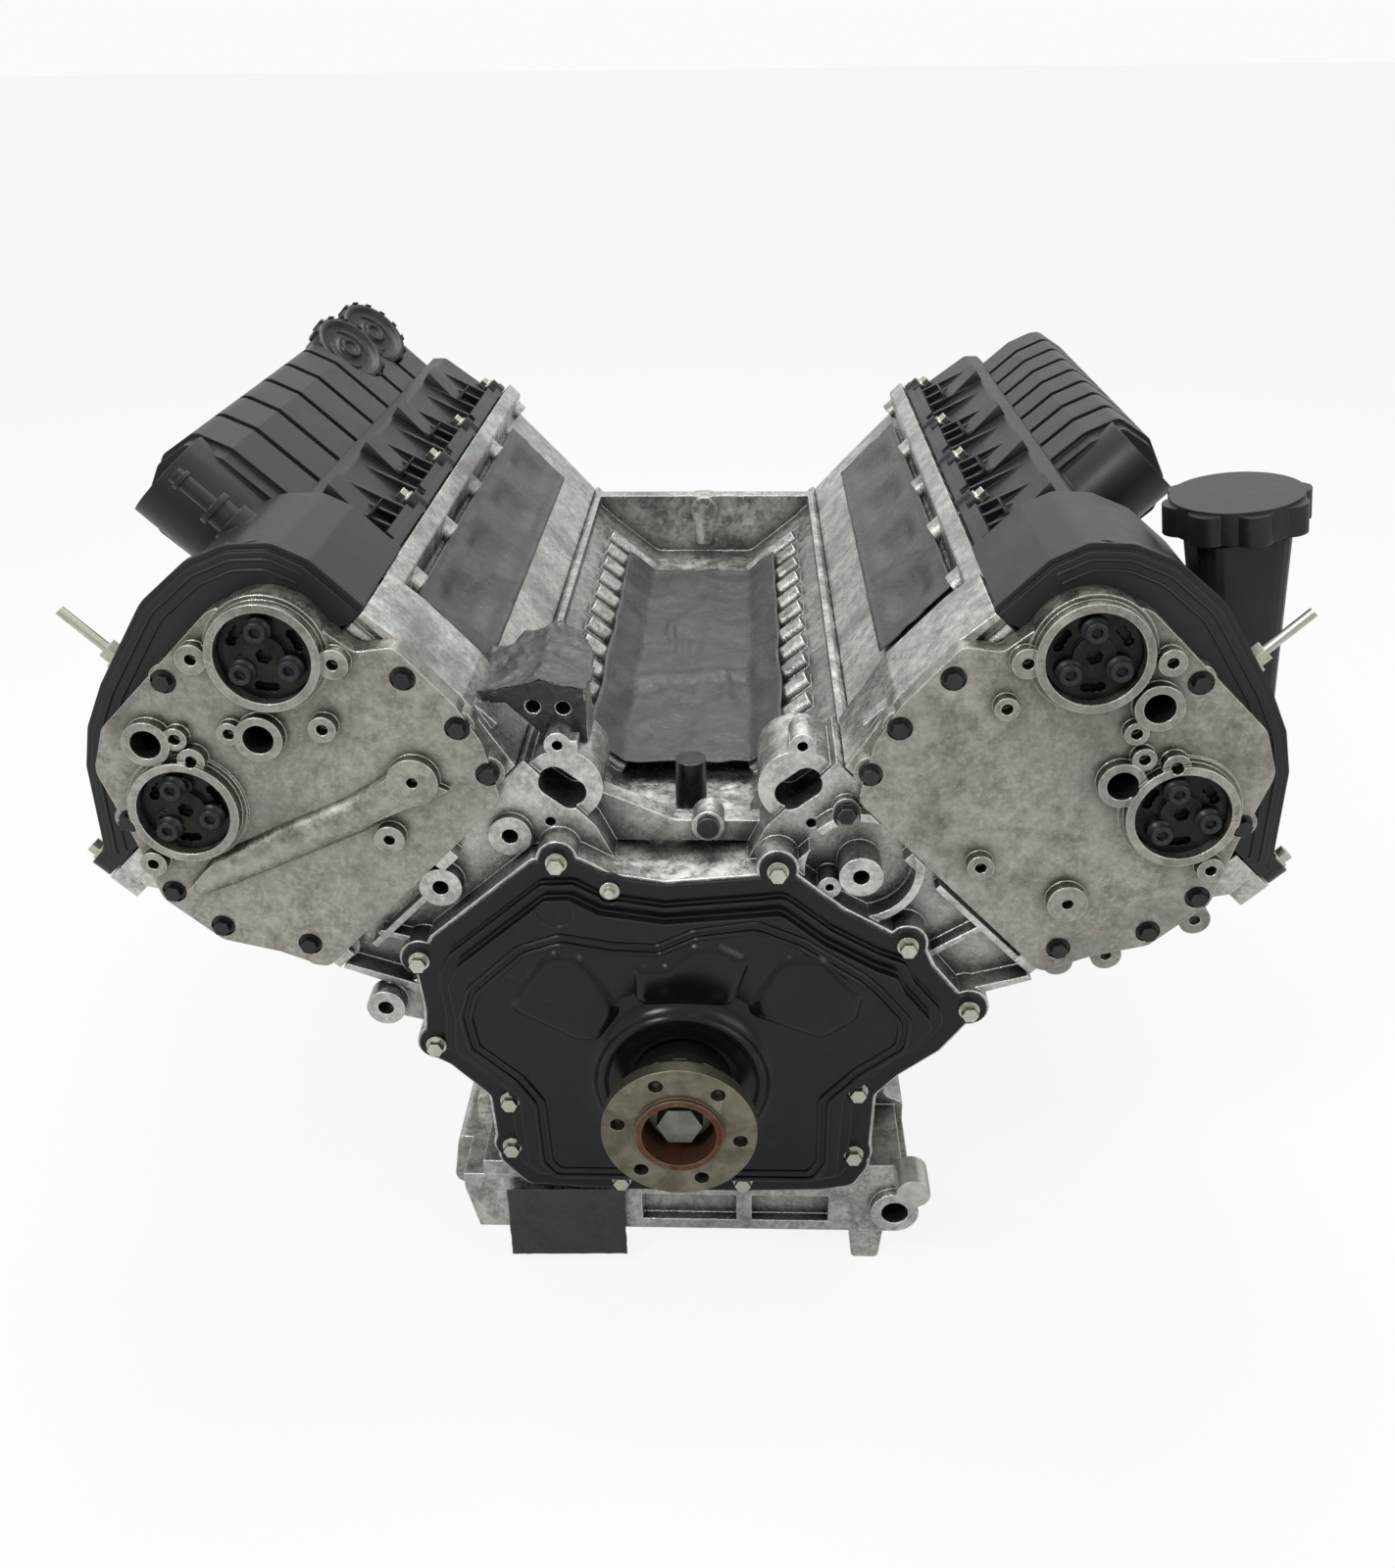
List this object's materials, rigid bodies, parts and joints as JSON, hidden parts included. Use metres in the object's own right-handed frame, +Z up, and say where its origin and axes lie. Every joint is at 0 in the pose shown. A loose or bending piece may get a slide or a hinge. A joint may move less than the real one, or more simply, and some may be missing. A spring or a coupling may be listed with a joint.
{
  "type": "car engine",
  "caption": "V-type overhead camshaft car engine long block with moulded cam covers, pressed timing cover, crank hub, oil filler and an open valley between the banks.",
  "frame": {"origin": "centre of the crankshaft hub flange's front face, on the crankshaft axis", "axes": "+Y runs rearward along the crankshaft axis, +Z is up, +X is to the right seen from the front"},
  "size_m": [0.7413, 0.688, 0.556],
  "materials": {
    "cast_aluminium": "mottled sand cast",
    "inner_aluminium": "machined",
    "forged_steel": "machined",
    "hub_steel": "oily machined steel",
    "cast_iron": "honed",
    "black_cover_steel": "satin black coating",
    "black_plastic": "moulded",
    "zinc_steel": "yellow zinc plated",
    "black_steel": "black oxide",
    "phaser_steel": "dark sintered steel",
    "rubber": "satin",
    "guide_plastic": "moulded",
    "black_tape": "wrinkled cloth tape"
  },
  "bodies": {
    "block": {"engine_block": "cast_aluminium", "cylinder_liners": "cast_iron", "main_bearing_caps": "cast_iron", "main_bearing_shells": "forged_steel", "upper_sump": "cast_aluminium", "lower_pan": "black_cover_steel", "rear_seal_carrier": "black_plastic", "block_fittings": "black_steel", "crank_seal": "rubber", "left_head": "cast_aluminium", "right_head": "cast_aluminium", "head_gaskets": "forged_steel", "left_cam_caps": "inner_aluminium", "right_cam_caps": "inner_aluminium", "left_timing_chain": "black_steel", "right_timing_chain": "black_steel", "chain_guides": "guide_plastic", "tensioner_bodies": "inner_aluminium", "timing_cover": "black_cover_steel", "timing_cover_bolts": "zinc_steel", "left_front_cover": "cast_aluminium", "right_front_cover": "cast_aluminium", "front_cover_bolts": "black_steel", "left_cam_cover": "black_plastic", "right_cam_cover": "black_plastic", "cam_cover_seals": "rubber", "cam_cover_bolts": "zinc_steel", "oil_filler_neck": "black_plastic", "breather_canisters": "black_plastic", "breather_pipe": "black_plastic", "port_tapes": "black_tape", "surface_tapes": "black_tape"},
    "crank": {"crankshaft": "forged_steel", "crank_sprockets": "black_steel", "crank_hub": "hub_steel", "hub_bolt": "zinc_steel"},
    "right_intake_drive": {"right_intake_phaser": "phaser_steel"},
    "right_intake_camshaft": {"right_intake_cam": "forged_steel"},
    "right_exhaust_drive": {"right_exhaust_phaser": "phaser_steel"},
    "right_exhaust_camshaft": {"right_exhaust_cam": "forged_steel"},
    "left_intake_drive": {"left_intake_phaser": "phaser_steel"},
    "left_intake_camshaft": {"left_intake_cam": "forged_steel"},
    "left_exhaust_drive": {"left_exhaust_phaser": "phaser_steel"},
    "left_exhaust_camshaft": {"left_exhaust_cam": "forged_steel"},
    "piston_1_body": {"piston_1": "inner_aluminium"},
    "piston_2_body": {"piston_2": "inner_aluminium"},
    "piston_3_body": {"piston_3": "inner_aluminium"},
    "piston_4_body": {"piston_4": "inner_aluminium"},
    "piston_5_body": {"piston_5": "inner_aluminium"},
    "piston_6_body": {"piston_6": "inner_aluminium"},
    "piston_7_body": {"piston_7": "inner_aluminium"},
    "piston_8_body": {"piston_8": "inner_aluminium"},
    "right_arm": {"right_tension_arm": "guide_plastic"},
    "right_piston_of_tensioner": {"right_plunger": "forged_steel"},
    "left_arm": {"left_tension_arm": "guide_plastic"},
    "left_piston_of_tensioner": {"left_plunger": "forged_steel"},
    "filler_plug": {"filler_seal": "rubber"},
    "filler_lid": {"filler_cap": "black_plastic"}
  },
  "joints": [
    {"name": "crank_turn", "type": "hinge", "parent": "block", "child": "crank", "pos_m": [0, 0, 0], "axis": [0, 1, 0], "continuous": true},
    {"name": "right_intake_phaser_turn", "type": "hinge", "parent": "block", "child": "right_intake_drive", "pos_m": [0.2291, 0.12, 0.28001], "axis": [0, 1, 0], "continuous": true},
    {"name": "right_intake_timing_shift", "type": "hinge", "parent": "right_intake_drive", "child": "right_intake_camshaft", "pos_m": [0.2291, 0.12, 0.28001], "axis": [0, 1, 0], "range_deg": [0, 30]},
    {"name": "right_exhaust_phaser_turn", "type": "hinge", "parent": "block", "child": "right_exhaust_drive", "pos_m": [0.28921, 0.12, 0.18173], "axis": [0, 1, 0], "continuous": true},
    {"name": "right_exhaust_timing_shift", "type": "hinge", "parent": "right_exhaust_drive", "child": "right_exhaust_camshaft", "pos_m": [0.28921, 0.12, 0.18173], "axis": [0, 1, 0], "range_deg": [0, 30]},
    {"name": "left_intake_phaser_turn", "type": "hinge", "parent": "block", "child": "left_intake_drive", "pos_m": [-0.2291, 0.12, 0.28001], "axis": [0, 1, 0], "continuous": true},
    {"name": "left_intake_timing_shift", "type": "hinge", "parent": "left_intake_drive", "child": "left_intake_camshaft", "pos_m": [-0.2291, 0.12, 0.28001], "axis": [0, 1, 0], "range_deg": [0, 30]},
    {"name": "left_exhaust_phaser_turn", "type": "hinge", "parent": "block", "child": "left_exhaust_drive", "pos_m": [-0.28921, 0.12, 0.18173], "axis": [0, 1, 0], "continuous": true},
    {"name": "left_exhaust_timing_shift", "type": "hinge", "parent": "left_exhaust_drive", "child": "left_exhaust_camshaft", "pos_m": [-0.28921, 0.12, 0.18173], "axis": [0, 1, 0], "range_deg": [0, 30]},
    {"name": "piston_1_stroke", "type": "slide", "parent": "block", "child": "piston_1_body", "axis": [-0.7071, 0, 0.7071], "range_m": [-0.03545, 0.04855]},
    {"name": "piston_2_stroke", "type": "slide", "parent": "block", "child": "piston_2_body", "axis": [0.7071, 0, 0.7071], "range_m": [-0.084, 0]},
    {"name": "piston_3_stroke", "type": "slide", "parent": "block", "child": "piston_3_body", "axis": [-0.7071, 0, 0.7071], "range_m": [0, 0.084]},
    {"name": "piston_4_stroke", "type": "slide", "parent": "block", "child": "piston_4_body", "axis": [0.7071, 0, 0.7071], "range_m": [-0.03545, 0.04855]},
    {"name": "piston_5_stroke", "type": "slide", "parent": "block", "child": "piston_5_body", "axis": [-0.7071, 0, 0.7071], "range_m": [-0.084, 0]},
    {"name": "piston_6_stroke", "type": "slide", "parent": "block", "child": "piston_6_body", "axis": [0.7071, 0, 0.7071], "range_m": [-0.03545, 0.04855]},
    {"name": "piston_7_stroke", "type": "slide", "parent": "block", "child": "piston_7_body", "axis": [-0.7071, 0, 0.7071], "range_m": [-0.03545, 0.04855]},
    {"name": "piston_8_stroke", "type": "slide", "parent": "block", "child": "piston_8_body", "axis": [0.7071, 0, 0.7071], "range_m": [0, 0.084]},
    {"name": "right_arm_swing", "type": "hinge", "parent": "block", "child": "right_arm", "pos_m": [0.07414, 0.12, 0.00705], "axis": [0, 1, 0], "range_deg": [0, 1.5]},
    {"name": "right_plunger_slide", "type": "slide", "parent": "block", "child": "right_piston_of_tensioner", "axis": [0.7071, 0, -0.7071], "range_m": [0, 0.0065]},
    {"name": "left_arm_swing", "type": "hinge", "parent": "block", "child": "left_arm", "pos_m": [-0.07414, 0.12, 0.00705], "axis": [0, -1, 0], "range_deg": [0, 1.5]},
    {"name": "left_plunger_slide", "type": "slide", "parent": "block", "child": "left_piston_of_tensioner", "axis": [-0.7071, 0, -0.7071], "range_m": [0, 0.0065]},
    {"name": "filler_lift", "type": "slide", "parent": "block", "child": "filler_plug", "axis": [-0.1392, 0, 0.9903], "range_m": [0, 0.045]},
    {"name": "filler_cap_turn", "type": "hinge", "parent": "filler_plug", "child": "filler_lid", "pos_m": [0.346, 0.165, 0.205], "axis": [-0.1392, 0, 0.9903], "range_deg": [0, 90]}
  ],
  "couplings": [
    {"joint": "right_intake_phaser_turn", "follows": "crank_turn", "ratio": 0.5},
    {"joint": "right_exhaust_phaser_turn", "follows": "crank_turn", "ratio": 0.5},
    {"joint": "left_intake_phaser_turn", "follows": "crank_turn", "ratio": 0.5},
    {"joint": "left_exhaust_phaser_turn", "follows": "crank_turn", "ratio": 0.5},
    {"joint": "right_plunger_slide", "follows": "right_arm_swing", "m_per_rad": 0.24},
    {"joint": "left_plunger_slide", "follows": "left_arm_swing", "m_per_rad": 0.24}
  ]
}
